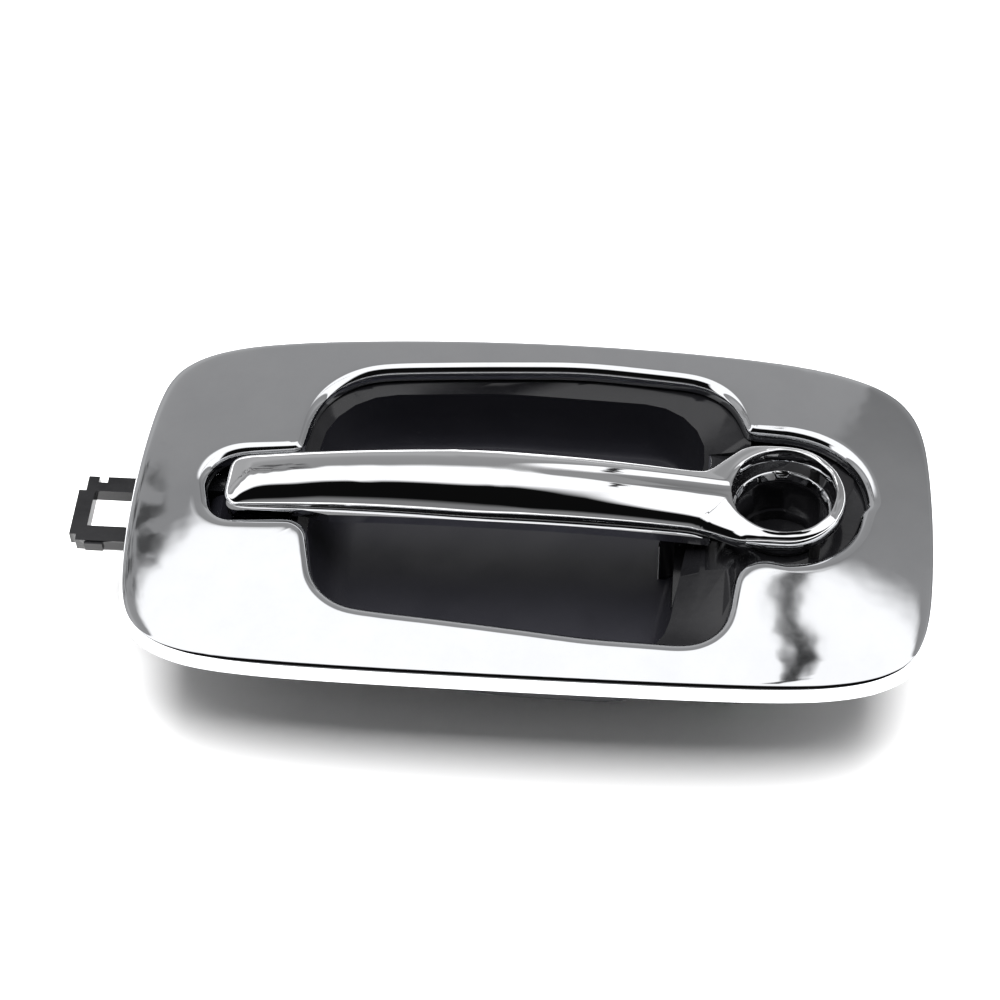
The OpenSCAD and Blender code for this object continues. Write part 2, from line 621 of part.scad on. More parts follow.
module grip_solid() {
    n = len(grip_line);
    front = [for (k = [0:6]) [for (i = [0:n - 1])
        let (gap = norm(grip_line[i] - inner_at(i, ring_hole_r)),
             hole_ring = 1 - min(1 - hole_in[k], bead_at[k] / gap))
        shell_point(i, blend3(hole_ring, top_in[k], low_in[k], i), blend3(hole_up[k], top_up[k], low_up[k], i),
            ring_hole_r)]];
    back = [for (in = [0, 0.5, 1]) [for (i = [0:n - 1]) shell_point(i, in, 0, ring_hole_r + 0.5)]];
    rings = concat(front, back);
    m = len(rings);
    across = function(i) crest_first + crest_last - i;
    quads = concat(
        [for (k = [0:m - 2], i = [0:n - 1]) [k * n + i, k * n + (i + 1) % n, (k + 1) * n + (i + 1) % n, (k + 1) * n + i]],
        // The strip along the crest, and the same strip behind it
        [for (i = [crest_first:floor((crest_first + crest_last) / 2) - 1]) [across(i), across(i + 1), i + 1, i]],
        [for (i = [crest_first:floor((crest_first + crest_last) / 2) - 1])
            [(m - 1) * n + i, (m - 1) * n + i + 1, (m - 1) * n + across(i + 1), (m - 1) * n + across(i)]],
        // The wall of the hole
        [for (i = [crest_last:n - 1]) [(m - 1) * n + i, (m - 1) * n + (i + 1) % n, (i + 1) % n, i]],
        [for (i = [0:crest_first - 1]) [(m - 1) * n + i, (m - 1) * n + i + 1, i + 1, i]],
        [[(m - 1) * n + crest_first, (m - 1) * n + crest_last, crest_last, crest_first]]);
    polyhedron([for (r = rings) each r], [for (q = quads) each q[1] == q[2] ? [[q[0], q[1], q[3]]] :
        [[q[0], q[1], q[2]], [q[0], q[2], q[3]]]], convexity = 10);
}

module grip_shell() { color(chrome) on_bezel() grip_solid(); }

// Half space behind the shell's back, or behind a face t further in
module behind_shell(t) {
    translate([grip_mid, back_y + back_arc, -40]) cylinder(r = back_arc - t, h = 80, $fn = 200);
}

grip_screw_places = [[hinge_x + 16, 0], [foot_screw_x, leg_z]];

module grip_back() {
    line = rounded([
        [lock_x - 19, g_top - 2.6, 2], [grip_l + 3, g_top - 3.4, 3], [grip_l + 1.2, g_bot + 1.3, 3],
        [grip_l + 21, g_bot + 1.2, 1], [grip_l + 23.5, g_bot + 0.9, 1], [grip_l + 30, g_bot - 0.7, 1],
        [grip_mid, g_bot - 1.3, 300], [lock_x - 19, g_bot - 0.9, 0.8], [lock_x - 17.6, g_bot + 3.2, 0.6],
        [lock_x - 19.5, g_bot + 4, 0.6]]);
    color(chrome) on_bezel() difference() {
        intersection() {
            slab(-30, 0) polygon(line);
            behind_shell(seat_gap);
        }
        behind_shell(back_t);
        for (p = grip_screw_places) translate([p[0], 0, p[1]]) rod_y(screw_r + 0.2, -30, 0);
    }
}

arm_foot_y = rear(hinge_x + 16) + back_t + 5;

module hinge_arm() {
    color(matte_black) on_bezel() difference() {
        intersection() {
            union() {
                translate([0, 0, -knuckle_h / 2 + 1]) linear_extrude(knuckle_h - 2) polygon([
                    [hinge_x + 4.5, -20], [hinge_x + 19, -20], [hinge_x + 19, arm_foot_y],
                    [hinge_x + 11, arm_foot_y], [hinge_x + 5, hinge_y + 2], [hinge_x, hinge_y + knuckle_r - 0.5],
                    [hinge_x - knuckle_r + 0.5, hinge_y], [hinge_x - 1, hinge_y - knuckle_r], [hinge_x + 4.5, -6]]);
                translate([hinge_x, hinge_y, -knuckle_h / 2]) cylinder(r = knuckle_r, h = knuckle_h, $fn = 96);
            }
            behind_shell(back_t + seat_gap);
        }
        translate([hinge_x, hinge_y, -20]) cylinder(r = hinge_pin_r + bush_t, h = 40, $fn = 96);
        translate([hinge_x + 16, 0, 0]) rod_y(screw_r + 0.2, -30, 0);
        translate([hinge_x + 16, 0, 0]) rod_y(3, arm_foot_y - 2, 10);
    }
}

module grip_screw(x, z, head_y) {
    translate([x, 0, z]) {
        rod_y(screw_r, rear(x) - 2.5, head_y + 0.2);
        difference() {
            rod_y(2.7, head_y, head_y + 1.6);
            translate([-0.4, head_y + 0.9, -2]) cube([0.8, 2, 4]);
            translate([-2, head_y + 0.9, -0.4]) cube([4, 2, 0.8]);
        }
    }
}

module grip_screws() {
    color(steel) on_bezel() {
        grip_screw(hinge_x + 16, 0, arm_foot_y - 2);
        grip_screw(foot_screw_x, leg_z, foot_end);
    }
}

// Round ring along Z
module ring_z(r, hole, z0, z1) {
    translate([0, 0, z0]) difference() {
        cylinder(r = r, h = z1 - z0, $fn = 64);
        translate([0, 0, -1]) cylinder(r = hole, h = z1 - z0 + 2, $fn = 64);
    }
}

pin_end = hinge_top + wall_t + 1.8;

module hinge_pin() {
    color(steel) on_bezel() translate([hinge_x, hinge_y, 0]) difference() {
        union() {
            translate([0, 0, -pin_end]) cylinder(r = hinge_pin_r, h = 2 * pin_end, $fn = 64);
            translate([0, 0, hinge_top + wall_t + seat_gap]) cylinder(r = hinge_pin_r + 1.6, h = 1.4, $fn = 64);
        }
        ring_z(hinge_pin_r + 1, hinge_pin_r - 0.5, -hinge_top - wall_t - 0.9, -hinge_top - wall_t - 0.1);
    }
}

module e_clip(r, t) {
    linear_extrude(t) difference() {
        circle(r = r + 2, $fn = 64);
        circle(r = r - 0.45, $fn = 64);
        translate([-0.75 * r, 0]) square([1.5 * r, 3 * r]);
    }
}

module hinge_clip() {
    color(steel) on_bezel() translate([hinge_x, hinge_y, -hinge_top - wall_t - 0.85]) e_clip(hinge_pin_r, 0.7);
}

module bush(r, len) {
    ring_z(r + bush_t - seat_gap, r + run_gap, 0, len);
}

bush_len = 4;

module hinge_bushes() {
    color("ivory") on_bezel() translate([hinge_x, hinge_y, 0]) for (z = [-knuckle_h / 2, knuckle_h / 2 - bush_len])
        translate([0, 0, z]) bush(hinge_pin_r, bush_len);
}

// ---- leg and crank ------------------------------------------------------------------------------
foot_y = rear(leg_x - 15) + back_t;
foot_end = tunnel_y - 0.8;

module pull_leg() {
    color(matte_black) on_bezel() difference() {
        union() {
            intersection() {
                translate([leg_x - 15, -20, leg_z - 5]) cube([21, 20 + foot_end, 10]);
                behind_shell(back_t + seat_gap);
            }
            translate([leg_x - leg_w / 2, foot_end - 0.6, leg_z - leg_h / 2]) cube([leg_w, leg_end - foot_end + 0.6, leg_h]);
        }
        translate([leg_x - arm_t / 2 - tip_room, crank_y + tip_run - window_l / 2, leg_z - leg_h])
            cube([arm_t + 2 * tip_room, window_l, 2 * leg_h]);
        translate([foot_screw_x, 0, leg_z]) rod_y(screw_r + 0.2, -30, 0);
    }
}

module leg_guide() {
    w = tunnel_r - tunnel_l - 2 * wall_t - 2 * seat_gap;
    h = 2 * (tunnel_h - wall_t) - 2 * seat_gap;
    color("ivory") on_bezel() translate([tunnel_l + wall_t + seat_gap, tunnel_y + 0.3, leg_z - h / 2]) difference() {
        cube([w, 3, h]);
        translate([0.8, -1, 0.6]) cube([w - 1.6, 5, h - 1.2]);
    }
}

module bump_stops() {
    color(rubber) on_bezel() translate([lock_x, 0, lock_z]) for (s = [-1, 1]) rotate([0, s * stop_deg, 0])
        translate([stop_place, 0, 0]) {
            rod_y(stop_r, ring_back + side_gap, flange_front - seat_gap);
            rod_y(stop_r / 2, flange_front - 0.5, flange_back + 0.5);
            rod_y(stop_r * 0.8, flange_back + seat_gap, flange_back + 1.2);
        }
}

// Flat lever arm from the hub, upright, with a round end
module lever(len, root, end) {
    linear_extrude(arm_t) {
        polygon([[-root, 0], [root, 0], [end, len], [-end, len]]);
        translate([0, len]) circle(r = end, $fn = 64);
    }
}

// From a drawing in X and Y to the crank's place, turned by a degrees from upright towards +Y
module on_crank(x, a) {
    translate([x, crank_y, crank_z]) rotate([-a, 0, 0]) rotate([90, 0, 90]) children();
}

out_deg = 90 + arm_deg;
out_x = hub_l + hub_len - arm_t;
rod_boss = rod_r + 2.6;

module bell_crank() {
    color(steel) on_bezel() difference() {
        union() {
            translate([0, crank_y, crank_z]) rod_x(hub_r, hub_l, hub_l + hub_len);
            on_crank(hub_l, arm_deg) lever(arm_in, hub_r - 1, tip_r);
            on_crank(out_x, out_deg) lever(arm_out, hub_r - 1, rod_boss);
        }
        translate([0, crank_y, crank_z]) rod_x(crank_pin_r + bush_t, hub_l - 1, hub_l + hub_len + 1);
        on_crank(out_x - 1, out_deg) translate([0, arm_out, 0]) cylinder(r = rod_r + 0.9, h = arm_t + 2, $fn = 64);
    }
}

module crank_pin() {
    color(steel) on_bezel() translate([0, crank_y, crank_z]) difference() {
        rod_x(crank_pin_r, drive_l + 0.3, crank_ear_x + ear_t + 2.2);
        translate([crank_ear_x + ear_t + 0.1, 0, 0]) rotate([0, 90, 0]) ring_z(crank_pin_r + 1, crank_pin_r - 0.5, 0, 0.8);
    }
}

module crank_clip() {
    color(steel) on_bezel() translate([crank_ear_x + ear_t + 0.15, crank_y, crank_z]) rotate([90, 0, 90])
        e_clip(crank_pin_r, 0.7);
}

module crank_bushes() {
    color("ivory") on_bezel() for (x = [hub_l, hub_l + hub_len - bush_len])
        translate([x, crank_y, crank_z]) rotate([90, 0, 90]) bush(crank_pin_r, bush_len);
}

// Coil of the return spring, with an arm at each end
spring_x = drive_r + 1;
spring_turns = 4.25;
spring_wire = 0.6;
spring_r = hub_r + spring_wire + 0.5;
spring_pitch = 1.45;
spring_arm = 8;

function spring_at(t) = [spring_x + spring_pitch * t / 360, spring_r * cos(t), spring_r * sin(t)];

module crank_spring() {
    step = 22.5;
    last = spring_turns * 360;
    coil = [for (t = [0:step:last]) spring_at(t)];
    path = concat([coil[0] + [0, 0, -spring_arm], coil[0] + [0, 0, -1.5]], coil,
        [for (d = [1.5, spring_arm]) coil[len(coil) - 1] + d * [0, -sin(last), cos(last)]]);
    n = len(path);
    sides = 8;
    points = [for (i = [0:n - 1])
        let (t = (path[min(i + 1, n - 1)] - path[max(i - 1, 0)]) / 1, dir = t / norm(t),
             out0 = i < 2 ? [0, 1, 0] : i > n - 3 ? [0, cos(last), sin(last)] : [0, path[i][1], path[i][2]],
             out1 = out0 - (out0 * dir) * dir, out = out1 / norm(out1), over = cross(dir, out))
        for (k = [0:sides - 1]) path[i] + spring_wire * (cos(360 * k / sides) * out + sin(360 * k / sides) * over)];
    faces = concat(
        [for (i = [0:n - 2], k = [0:sides - 1])
            let (a = i * sides + k, b = i * sides + (k + 1) % sides)
            each [[a, a + sides, b], [b, a + sides, b + sides]]],
        [[for (k = [0:sides - 1]) k]], [[for (k = [sides - 1:-1:0]) (n - 1) * sides + k]]);
    color(steel) on_bezel() translate([0, crank_y, crank_z]) polyhedron(points, faces, convexity = 10);
}

module rod_clip() {
    color("seagreen") on_bezel() on_crank(out_x - 1.2, out_deg) translate([0, arm_out, 0]) {
        ring_z(rod_r + 0.9 - seat_gap, rod_r, 0, arm_t + 2.4);
        ring_z(rod_r + 2, rod_r, 0, 1.15);
    }
}

// ---- mounting -------------------------------------------------------------------------------------
stud_neck = stud_r + 0.6;

module mounting_studs() {
    color(steel) for (s = [-1, 1]) translate([s * stud_x, 0, 0]) {
        rod_y(stud_neck, flange_front - 1, -0.3);
        rod_y(stud_r, -1, stud_len - 1);
        rod_y(stud_r - 0.7, stud_len - 1 - eps, stud_len);
        rod_y(stud_r + 2, flange_front - 1.5, flange_front - seat_gap);
    }
}

module door_gasket() {
    color(rubber) on_bezel() difference() {
        slab(flange_back + seat_gap, 0) polygon(edge(3));
        slab(flange_back - 1, 1) polygon(edge(8));
        for (p = screw_places) translate([p[0], 0, p[1]]) rod_y(boss_r + seat_gap, -10, 10);
    }
}

module bezel_screws() {
    color(steel) on_bezel() for (p = screw_places) translate([p[0], 0, p[1]]) difference() {
        union() {
            rod_y(screw_r, crown(p[0], p[1]) + 1.5, 3 + seat_gap);
            rod_y(2.7, 3 + seat_gap, 4.6);
        }
        translate([-0.4, 3.9, -2]) cube([0.8, 2, 4]);
        translate([-2, 3.9, -0.4]) cube([4, 2, 0.8]);
    }
}

bezel();
bowl_surround();
hand_cup();
base_frame();
lock_collar();
lock_seal();
lock_clip();
grip_shell();
grip_back();
grip_screws();
hinge_arm();
hinge_pin();
hinge_bushes();
hinge_clip();
pull_leg();
leg_guide();
bump_stops();
bell_crank();
crank_pin();
crank_bushes();
crank_clip();
crank_spring();
rod_clip();
mounting_studs();
door_gasket();
bezel_screws();
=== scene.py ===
import json
import math
import bmesh
import bpy
from mathutils import Matrix, Vector


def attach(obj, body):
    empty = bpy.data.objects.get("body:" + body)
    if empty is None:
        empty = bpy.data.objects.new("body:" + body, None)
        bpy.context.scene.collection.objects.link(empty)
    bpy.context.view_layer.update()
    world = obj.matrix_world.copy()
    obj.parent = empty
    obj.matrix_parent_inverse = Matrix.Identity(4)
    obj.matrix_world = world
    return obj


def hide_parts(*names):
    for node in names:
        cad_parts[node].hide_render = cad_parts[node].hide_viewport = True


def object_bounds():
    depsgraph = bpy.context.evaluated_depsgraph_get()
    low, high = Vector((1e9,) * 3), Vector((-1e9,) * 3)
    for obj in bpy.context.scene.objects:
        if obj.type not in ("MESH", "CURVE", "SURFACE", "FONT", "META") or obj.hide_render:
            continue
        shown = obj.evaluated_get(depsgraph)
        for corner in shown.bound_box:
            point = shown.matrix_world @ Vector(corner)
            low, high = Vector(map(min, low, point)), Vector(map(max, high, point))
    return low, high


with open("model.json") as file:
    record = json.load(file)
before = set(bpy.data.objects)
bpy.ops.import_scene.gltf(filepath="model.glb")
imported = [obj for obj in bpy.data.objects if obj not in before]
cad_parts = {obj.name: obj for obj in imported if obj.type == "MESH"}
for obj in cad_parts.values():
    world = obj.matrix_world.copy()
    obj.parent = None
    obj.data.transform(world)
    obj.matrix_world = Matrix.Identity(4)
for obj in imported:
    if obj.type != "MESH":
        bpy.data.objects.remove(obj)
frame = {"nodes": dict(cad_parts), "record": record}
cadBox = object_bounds()
scene = bpy.context.scene


# ---- camera ----
cameraPlace = {
    "place": (0.03825, -0.55187, -0.40427),
    "rows": ((0.9967, -0.0473, 0.0663), (0.0218, -0.6289, -0.7771), (0.0785, 0.776, -0.6258)),
    "lens": 93.6,
    "sensor": 36.0,
    "clipStart": 0.01,
}


def addCamera(values):
    data = bpy.data.cameras.new("studioCamera")
    data.lens = values["lens"]
    data.sensor_width = values["sensor"]
    data.clip_start = values["clipStart"]
    camera = bpy.data.objects.new("studioCamera", data)
    turn = Matrix(values["rows"]).to_quaternion().to_matrix().to_4x4()
    camera.matrix_world = Matrix.Translation(Vector(values["place"])) @ turn
    scene.collection.objects.link(camera)
    scene.camera = camera


addCamera(cameraPlace)
scene.view_settings.view_transform = "Standard"
scene.view_settings.look = "None"
print("camera set")


# ---- node helpers ----
def newMaterial(name):
    material = bpy.data.materials.new(name)
    material.use_nodes = True
    tree = material.node_tree
    shader = next(n for n in tree.nodes if n.type == "BSDF_PRINCIPLED")
    return material, tree, shader


def addNode(tree, kind, **settings):
    node = tree.nodes.new(kind)
    for key, value in settings.items():
        if key in node.inputs:
            node.inputs[key].default_value = value
        else:
            setattr(node, key, value)
    return node


def mathNode(tree, operation, first, second=None):
    node = tree.nodes.new("ShaderNodeMath")
    node.operation = operation
    for socket, value in zip(node.inputs, (first, second)):
        if value is None:
            continue
        if isinstance(value, (int, float)):
            socket.default_value = value
        else:
            tree.links.new(value, socket)
    return node.outputs[0]


def rampNode(tree, fac, stops):
    node = tree.nodes.new("ShaderNodeValToRGB")
    ramp = node.color_ramp.elements
    while len(ramp) < len(stops):
        ramp.new(0.5)
    for element, (place, colour) in zip(ramp, stops):
        element.position = place
        element.color = (*colour, 1.0)
    tree.links.new(fac, node.inputs["Fac"])
    return node.outputs["Color"]


def greyRamp(tree, fac, stops):
    return rampNode(tree, fac, [(place, (grey, grey, grey)) for place, grey in stops])


# ---- shared grain of all surfaces ----
grainSockets = {
    "Scale": ("NodeSocketFloat", 900.0),
    "Rough Low": ("NodeSocketFloat", 0.3),
    "Rough High": ("NodeSocketFloat", 0.5),
    "Dark": ("NodeSocketColor", None),
    "Light": ("NodeSocketColor", None),
    "Patch Scale": ("NodeSocketFloat", 60.0),
}
grainResults = {"Color": "NodeSocketColor", "Roughness": "NodeSocketFloat", "Height": "NodeSocketFloat"}
patchSpread = (0.35, 0.65)  # noise values that give the lowest and the highest roughness


def buildFinishGroup():
    group = bpy.data.node_groups.new("surfaceGrain", "ShaderNodeTree")
    face = group.interface
    for name, (kind, start) in grainSockets.items():
        socket = face.new_socket(name=name, in_out="INPUT", socket_type=kind)
        if start is not None:
            socket.default_value = start
    for name, kind in grainResults.items():
        face.new_socket(name=name, in_out="OUTPUT", socket_type=kind)
    inside = group.nodes.new("NodeGroupInput")
    outside = group.nodes.new("NodeGroupOutput")
    coordinates = group.nodes.new("ShaderNodeTexCoord")
    mapping = group.nodes.new("ShaderNodeMapping")
    group.links.new(coordinates.outputs["Object"], mapping.inputs["Vector"])
    fine = addNode(group, "ShaderNodeTexNoise", Detail=3.0, Roughness=0.6)
    patch = addNode(group, "ShaderNodeTexNoise", Detail=5.0, Roughness=0.65)
    for noise, scale in ((fine, "Scale"), (patch, "Patch Scale")):
        group.links.new(mapping.outputs["Vector"], noise.inputs["Vector"])
        group.links.new(inside.outputs[scale], noise.inputs["Scale"])
    spread = group.nodes.new("ShaderNodeMapRange")
    spread.inputs["From Min"].default_value = patchSpread[0]
    spread.inputs["From Max"].default_value = patchSpread[1]
    group.links.new(patch.outputs["Fac"], spread.inputs["Value"])
    group.links.new(inside.outputs["Rough Low"], spread.inputs["To Min"])
    group.links.new(inside.outputs["Rough High"], spread.inputs["To Max"])
    mix = addNode(group, "ShaderNodeMix", data_type="RGBA")
    factor, dark, light = mix.inputs[0], mix.inputs[6], mix.inputs[7]
    group.links.new(patch.outputs["Fac"], factor)
    group.links.new(inside.outputs["Dark"], dark)
    group.links.new(inside.outputs["Light"], light)
    group.links.new(mix.outputs[2], outside.inputs["Color"])
    group.links.new(spread.outputs["Result"], outside.inputs["Roughness"])
    group.links.new(fine.outputs["Fac"], outside.inputs["Height"])
    return group


grainGroup = buildFinishGroup()


def finishMaterial(name, values):
    material, tree, shader = newMaterial(name)
    grain = tree.nodes.new("ShaderNodeGroup")
    grain.node_tree = grainGroup
    settings = {
        "Scale": values["grain"],
        "Patch Scale": values["patch"],
        "Rough Low": values["rough"][0],
        "Rough High": values["rough"][1],
        "Dark": (*values["dark"], 1.0),
        "Light": (*values["light"], 1.0),
    }
    for key, value in settings.items():
        grain.inputs[key].default_value = value
    tree.links.new(grain.outputs["Color"], shader.inputs["Base Color"])
    tree.links.new(grain.outputs["Roughness"], shader.inputs["Roughness"])
    shader.inputs["Metallic"].default_value = values.get("metal", 0.0)
    shader.inputs["Specular IOR Level"].default_value = 0.5
    bump = tree.nodes.new("ShaderNodeBump")
    bump.inputs["Strength"].default_value = values["bump"]
    bump.inputs["Distance"].default_value = values.get("depth", 0.0001)
    tree.links.new(grain.outputs["Height"], bump.inputs["Height"])
    tree.links.new(bump.outputs["Normal"], shader.inputs["Normal"])
    return material


# ---- finishes ----
finishes = {
    "chrome": dict(grain=30.0, patch=45.0, rough=(0.02, 0.06), dark=(0.72, 0.73, 0.75),
                   light=(0.86, 0.87, 0.88), metal=1.0, bump=0.04, depth=0.002),
    "gripChrome": dict(grain=28.0, patch=60.0, rough=(0.015, 0.04), dark=(0.78, 0.79, 0.8),
                       light=(0.9, 0.9, 0.91), metal=1.0, bump=0.03, depth=0.001),
    "glossBlack": dict(grain=500.0, patch=90.0, rough=(0.08, 0.2), dark=(0.003, 0.003, 0.0035),
                       light=(0.008, 0.008, 0.009), bump=0.05, depth=0.0002),
    "matteBlack": dict(grain=2600.0, patch=40.0, rough=(0.36, 0.5), dark=(0.006, 0.006, 0.008),
                       light=(0.013, 0.013, 0.017), bump=0.25, depth=0.0001),
    "zincSteel": dict(grain=1800.0, patch=150.0, rough=(0.25, 0.42), dark=(0.42, 0.42, 0.43),
                      light=(0.62, 0.62, 0.6), metal=1.0, bump=0.15),
    "springSteel": dict(grain=900.0, patch=200.0, rough=(0.3, 0.4), dark=(0.25, 0.25, 0.26),
                        light=(0.4, 0.4, 0.4), metal=1.0, bump=0.1),
    "rubber": dict(grain=3000.0, patch=80.0, rough=(0.6, 0.8), dark=(0.008, 0.008, 0.008),
                   light=(0.02, 0.02, 0.02), bump=0.4),
    "foam": dict(grain=2200.0, patch=70.0, rough=(0.8, 0.95), dark=(0.02, 0.02, 0.022),
                 light=(0.05, 0.05, 0.052), bump=0.9, depth=0.0003),
    "nylon": dict(grain=1500.0, patch=100.0, rough=(0.35, 0.5), dark=(0.62, 0.6, 0.52),
                  light=(0.74, 0.72, 0.64), bump=0.1),
    "clipGreen": dict(grain=1500.0, patch=100.0, rough=(0.35, 0.5), dark=(0.05, 0.22, 0.1),
                      light=(0.09, 0.32, 0.15), bump=0.1),
}
materials = {}
for finishName, finishValues in finishes.items():
    materials[finishName] = finishMaterial(finishName, finishValues)
print("finishes made")


# ---- pieces from the frame ----
bodyOf = {node: body for body, nodes in frame["record"]["behaviour"]["bodies"].items() for node in nodes}


meshValues = {
    "mergeDistance": 2e-6,
    "flatAngle": 0.5,  # degrees between faces that count as one flat face
    "quadAngle": 35.0,
    "creaseAngle": 50.0,
    "creaseWeight": 0.75,
    "sharpAngle": 35.0,
}


# The cage of a rounded piece, from its triangles: quads, with a crease where the surface turns sharply
def makeCage(form):
    quadAngle = math.radians(meshValues["quadAngle"])
    bmesh.ops.join_triangles(form, faces=form.faces, angle_face_threshold=quadAngle,
                             angle_shape_threshold=math.radians(180))
    creases = form.edges.layers.float.new("crease_edge")
    for edge in form.edges:
        if len(edge.link_faces) == 2 and edge.calc_face_angle(0.0) > math.radians(meshValues["creaseAngle"]):
            edge[creases] = meshValues["creaseWeight"]


# A copy of a frame node as a piece, smoothed by subdivision where levels isn't 0
def finishedPiece(node, name, material, levels, sharpAngle):
    mesh = bpy.data.meshes.new(name)
    form = bmesh.new()
    form.from_mesh(frame["nodes"][node].data)
    bmesh.ops.remove_doubles(form, verts=form.verts, dist=meshValues["mergeDistance"])
    if levels:
        makeCage(form)
    else:
        bmesh.ops.dissolve_limit(form, angle_limit=math.radians(meshValues["flatAngle"]), verts=form.verts,
                                 edges=form.edges)
    for face in form.faces:
        face.smooth = True
    form.to_mesh(mesh)
    form.free()
    mesh.materials.append(material)
    piece = bpy.data.objects.new(name, mesh)
    scene.collection.objects.link(piece)
    mesh.set_sharp_from_angle(angle=math.radians(sharpAngle))
    if levels:
        smoothing = piece.modifiers.new("smoothing", "SUBSURF")
        smoothing.levels = levels
        smoothing.render_levels = levels
    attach(piece, bodyOf[node])
    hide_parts(node)


# Name, slot and finish of the piece made from each node
pieces = {
    "bezel": ("bezelPlate", "chrome", "chrome"),
    "grip_shell": ("gripFront", "chrome", "gripChrome"),
    "bowl_surround": ("bowlSurround", "gloss_black", "glossBlack"),
    "hand_cup": ("handCup", "matte_black", "matteBlack"),
    "base_frame": ("handleBase", "gloss_black", "glossBlack"),
    "lock_collar": ("lockCollar", "chrome", "chrome"),
    "lock_seal": ("lockSeal", "rubber", "rubber"),
    "lock_clip": ("lockClip", "steel", "zincSteel"),
    "grip_back": ("gripCover", "chrome", "gripChrome"),
    "grip_screws": ("gripScrews", "steel", "zincSteel"),
    "hinge_arm": ("hingeArm", "matte_black", "matteBlack"),
    "hinge_pin": ("hingePin", "steel", "zincSteel"),
    "hinge_bushes": ("hingeBushes", "nylon", "nylon"),
    "hinge_clip": ("hingeClip", "steel", "zincSteel"),
    "pull_leg": ("pullLeg", "matte_black", "matteBlack"),
    "leg_guide": ("legGuide", "nylon", "nylon"),
    "bump_stops": ("bumpStops", "rubber", "rubber"),
    "bell_crank": ("bellCrank", "steel", "zincSteel"),
    "crank_pin": ("crankPin", "steel", "zincSteel"),
    "crank_bushes": ("crankBushes", "nylon", "nylon"),
    "crank_clip": ("crankClip", "steel", "zincSteel"),
    "crank_spring": ("crankSpring", "steel", "springSteel"),
    "rod_clip": ("rodClip", "clip_green", "clipGreen"),
    "mounting_studs": ("mountingStuds", "steel", "zincSteel"),
    "door_gasket": ("doorGasket", "foam", "foam"),
    "bezel_screws": ("bezelScrews", "steel", "zincSteel"),
}
roundedLevels = {"bezel": 2, "grip_shell": 2}  # subdivision of the polished pieces
sharpAngles = {"bowl_surround": 40.0, "hand_cup": 40.0}  # degrees, where they differ from meshValues
for nodeName, (pieceName, slotName, finishName) in pieces.items():
    finishedPiece(nodeName, pieceName, materials[finishName], roundedLevels.get(nodeName, 0),
                  sharpAngles.get(nodeName, meshValues["sharpAngle"]))
print("pieces made")


# ---- floor ----
floorPlace = {
    "half": 3.0,
    "clearance": 0.0006,  # behind the deepest piece
    "colour": (0.93, 0.93, 0.93),
    "patchDrop": 0.01,
}


def addFloor(values):
    mesh = bpy.data.meshes.new("studioFloor")
    form = bmesh.new()
    bmesh.ops.create_grid(form, x_segments=1, y_segments=1, size=values["half"])
    bmesh.ops.rotate(form, verts=form.verts, matrix=Matrix.Rotation(math.radians(90), 3, "X"))
    bmesh.ops.translate(form, verts=form.verts, vec=(0, cadBox[1][1] + values["clearance"], 0))
    for face in form.faces:
        if face.normal.y > 0:
            face.normal_flip()
    form.to_mesh(mesh)
    form.free()
    floor = bpy.data.objects.new("studioFloor", mesh)
    scene.collection.objects.link(floor)
    material, tree, shader = newMaterial("studioFloor")
    coordinates = tree.nodes.new("ShaderNodeTexCoord")
    noise = addNode(tree, "ShaderNodeTexNoise", Scale=3.0, Detail=2.0)
    tree.links.new(coordinates.outputs["Object"], noise.inputs["Vector"])
    base = values["colour"]
    darker = [part - values["patchDrop"] for part in base]
    colour = rampNode(tree, noise.outputs["Fac"], ((0.3, darker), (0.7, base)))
    tree.links.new(colour, shader.inputs["Base Color"])
    shader.inputs["Roughness"].default_value = 0.9
    shader.inputs["Specular IOR Level"].default_value = 0.1
    clear = tree.nodes.new("ShaderNodeBsdfTransparent")
    side = tree.nodes.new("ShaderNodeNewGeometry")
    mix = tree.nodes.new("ShaderNodeMixShader")
    output = next(n for n in tree.nodes if n.type == "OUTPUT_MATERIAL")
    tree.links.new(side.outputs["Backfacing"], mix.inputs[0])
    tree.links.new(shader.outputs[0], mix.inputs[1])
    tree.links.new(clear.outputs[0], mix.inputs[2])
    tree.links.new(mix.outputs[0], output.inputs["Surface"])
    mesh.materials.append(material)


addFloor(floorPlace)


# ---- light ----
studioLight = {
    "softbox": dict(place=(0.03, -1.3, 0.14), size=1.25, power=50.0),
    "world": 1.0,
}


def addLight(values):
    data = bpy.data.lights.new("softbox", "AREA")
    data.shape = "SQUARE"
    data.size = values["size"]
    data.energy = values["power"]
    light = bpy.data.objects.new("softbox", data)
    place = Vector(values["place"])
    light.matrix_world = Matrix.Translation(place) @ (-place).to_track_quat("-Z", "Y").to_matrix().to_4x4()
    light.visible_glossy = False
    light.visible_camera = False
    scene.collection.objects.link(light)


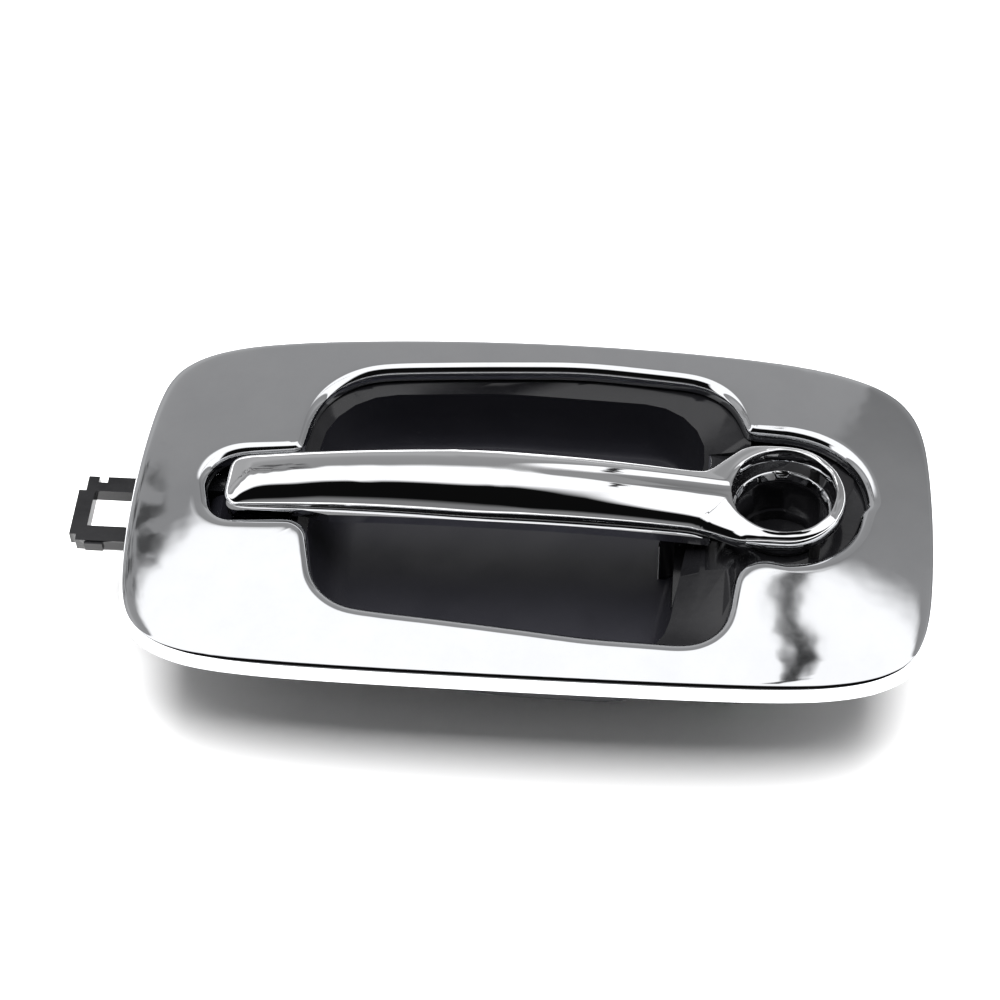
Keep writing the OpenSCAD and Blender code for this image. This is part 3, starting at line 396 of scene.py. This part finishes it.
# The room seen in the chrome, by direction: "turn" is 0 upwards, 0.5 straight out of the door and 1
# downwards, and "side" is the direction's X, from -1 at the hinge end to 1 at the lock end.
room = {
    "tones": {"low": 0.42, "haze": 0.46, "wall": 0.34, "screen": 0.3, "white": 1.25, "black": 0.004,
              "near": 0.22},
    "tint": (1.0, 1.0, 1.01),
    "rampScale": 0.8,  # a ramp holds no colour above 1, so the world's strength gives the rest
    "stops": ((0.0, "low"), (0.12, "haze"), (0.19, "wall"), (0.283, "screen"), (0.299, "white"),
              (0.5, "white"), (0.545, "black"), (0.84, "black"), (0.92, "near")),
    "leftBend": (0.296, 0.7),  # side where the bands start to shift, and by how much
    "rightBend": (0.12, 0.25),
    "waviness": 0.012,
    "cameraGrey": (0.95, 0.95, 0.95, 1.0),
}
darkCorner = {"slope": 0.6, "edge": ((0.3075, 0.0), (0.3105, 1.0)), "fade": ((0.22, 0.62), (0.31, 1.0))}
darkBand = {
    "side": 0.15,
    "waviness": 0.07,
    "edge": ((0.006, 0.03), (0.011, 1.0)),
    "outside": ((0.302, 1.0), (0.31, 0.0), (0.4, 0.0), (0.43, 1.0)),
}
blotches = {
    "edge": ((0.4, 0.25), (0.52, 1.0)),
    "outsideSide": ((0.318, 1.0), (0.335, 0.0)),
    "outsideTurn": ((0.25, 1.0), (0.265, 0.0), (0.315, 0.0), (0.33, 1.0)),
}


def buildWorld():
    world = bpy.data.worlds.new("studioRoom")
    scene.world = world
    world.use_nodes = True
    tree = world.node_tree
    background = next(n for n in tree.nodes if n.type == "BACKGROUND")
    coordinates = tree.nodes.new("ShaderNodeTexCoord")
    split = tree.nodes.new("ShaderNodeSeparateXYZ")
    tree.links.new(coordinates.outputs["Generated"], split.inputs[0])

    def roomNoise(scale, detail):
        noise = addNode(tree, "ShaderNodeTexNoise", Scale=scale, Detail=detail, Roughness=0.5)
        tree.links.new(coordinates.outputs["Generated"], noise.inputs["Vector"])
        return mathNode(tree, "SUBTRACT", noise.outputs["Fac"], 0.5)

    def times(first, second):
        return mathNode(tree, "MULTIPLY", first, second)

    def minus(first, second):
        return mathNode(tree, "SUBTRACT", first, second)

    side = split.outputs["X"]
    up = times(split.outputs["Y"], -1.0)
    turn = mathNode(tree, "DIVIDE", mathNode(tree, "ARCTAN2", up, split.outputs["Z"]), math.pi)

    # Bands of the room, shifted at both ends and slightly wavy
    leftStart, leftShift = room["leftBend"]
    rightStart, rightShift = room["rightBend"]
    leftOf = mathNode(tree, "MAXIMUM", minus(times(side, -1.0), leftStart), 0.0)
    rightOf = mathNode(tree, "MAXIMUM", minus(side, rightStart), 0.0)
    edge = minus(minus(turn, times(leftOf, leftShift)), times(rightOf, rightShift))
    edge = mathNode(tree, "ADD", edge, times(roomNoise(4.0, 3.0), room["waviness"]))
    tones, scale = room["tones"], room["rampScale"]
    colour = rampNode(tree, edge, [(place, [tones[tone] * scale * part for part in room["tint"]])
                                   for place, tone in room["stops"]])

    # Dark corner at the upper right
    cornerAt = mathNode(tree, "ADD", side, times(turn, darkCorner["slope"]))
    corner = greyRamp(tree, cornerAt, darkCorner["edge"])
    shade = minus(1.0, times(corner, minus(1.0, greyRamp(tree, turn, darkCorner["fade"]))))

    # Dark wavy band through the screen
    drift = times(roomNoise(9.0, 4.0), darkBand["waviness"])
    offset = mathNode(tree, "ABSOLUTE", mathNode(tree, "ADD", minus(side, darkBand["side"]), drift))
    band = mathNode(tree, "MAXIMUM", greyRamp(tree, offset, darkBand["edge"]),
                    greyRamp(tree, turn, darkBand["outside"]))

    # Blotches at the left end
    spots = greyRamp(tree, mathNode(tree, "ADD", roomNoise(26.0, 4.0), 0.5), blotches["edge"])
    farLeft = greyRamp(tree, times(side, -1.0), blotches["outsideSide"])
    spots = mathNode(tree, "MAXIMUM", mathNode(tree, "MAXIMUM", spots, farLeft),
                     greyRamp(tree, turn, blotches["outsideTurn"]))

    lit = addNode(tree, "ShaderNodeVectorMath", operation="SCALE")
    tree.links.new(colour, lit.inputs[0])
    tree.links.new(times(times(shade, band), spots), lit.inputs["Scale"])
    tree.links.new(lit.outputs["Vector"], background.inputs["Color"])
    background.inputs["Strength"].default_value = studioLight["world"] / room["rampScale"]

    plain = addNode(tree, "ShaderNodeBackground", Strength=1.0)
    plain.inputs["Color"].default_value = room["cameraGrey"]
    path = tree.nodes.new("ShaderNodeLightPath")
    mix = tree.nodes.new("ShaderNodeMixShader")
    output = next(n for n in tree.nodes if n.type == "OUTPUT_WORLD")
    tree.links.new(path.outputs["Is Camera Ray"], mix.inputs[0])
    tree.links.new(background.outputs[0], mix.inputs[1])
    tree.links.new(plain.outputs[0], mix.inputs[2])
    tree.links.new(mix.outputs[0], output.inputs["Surface"])


addLight(studioLight["softbox"])
buildWorld()
print("stage and light set")
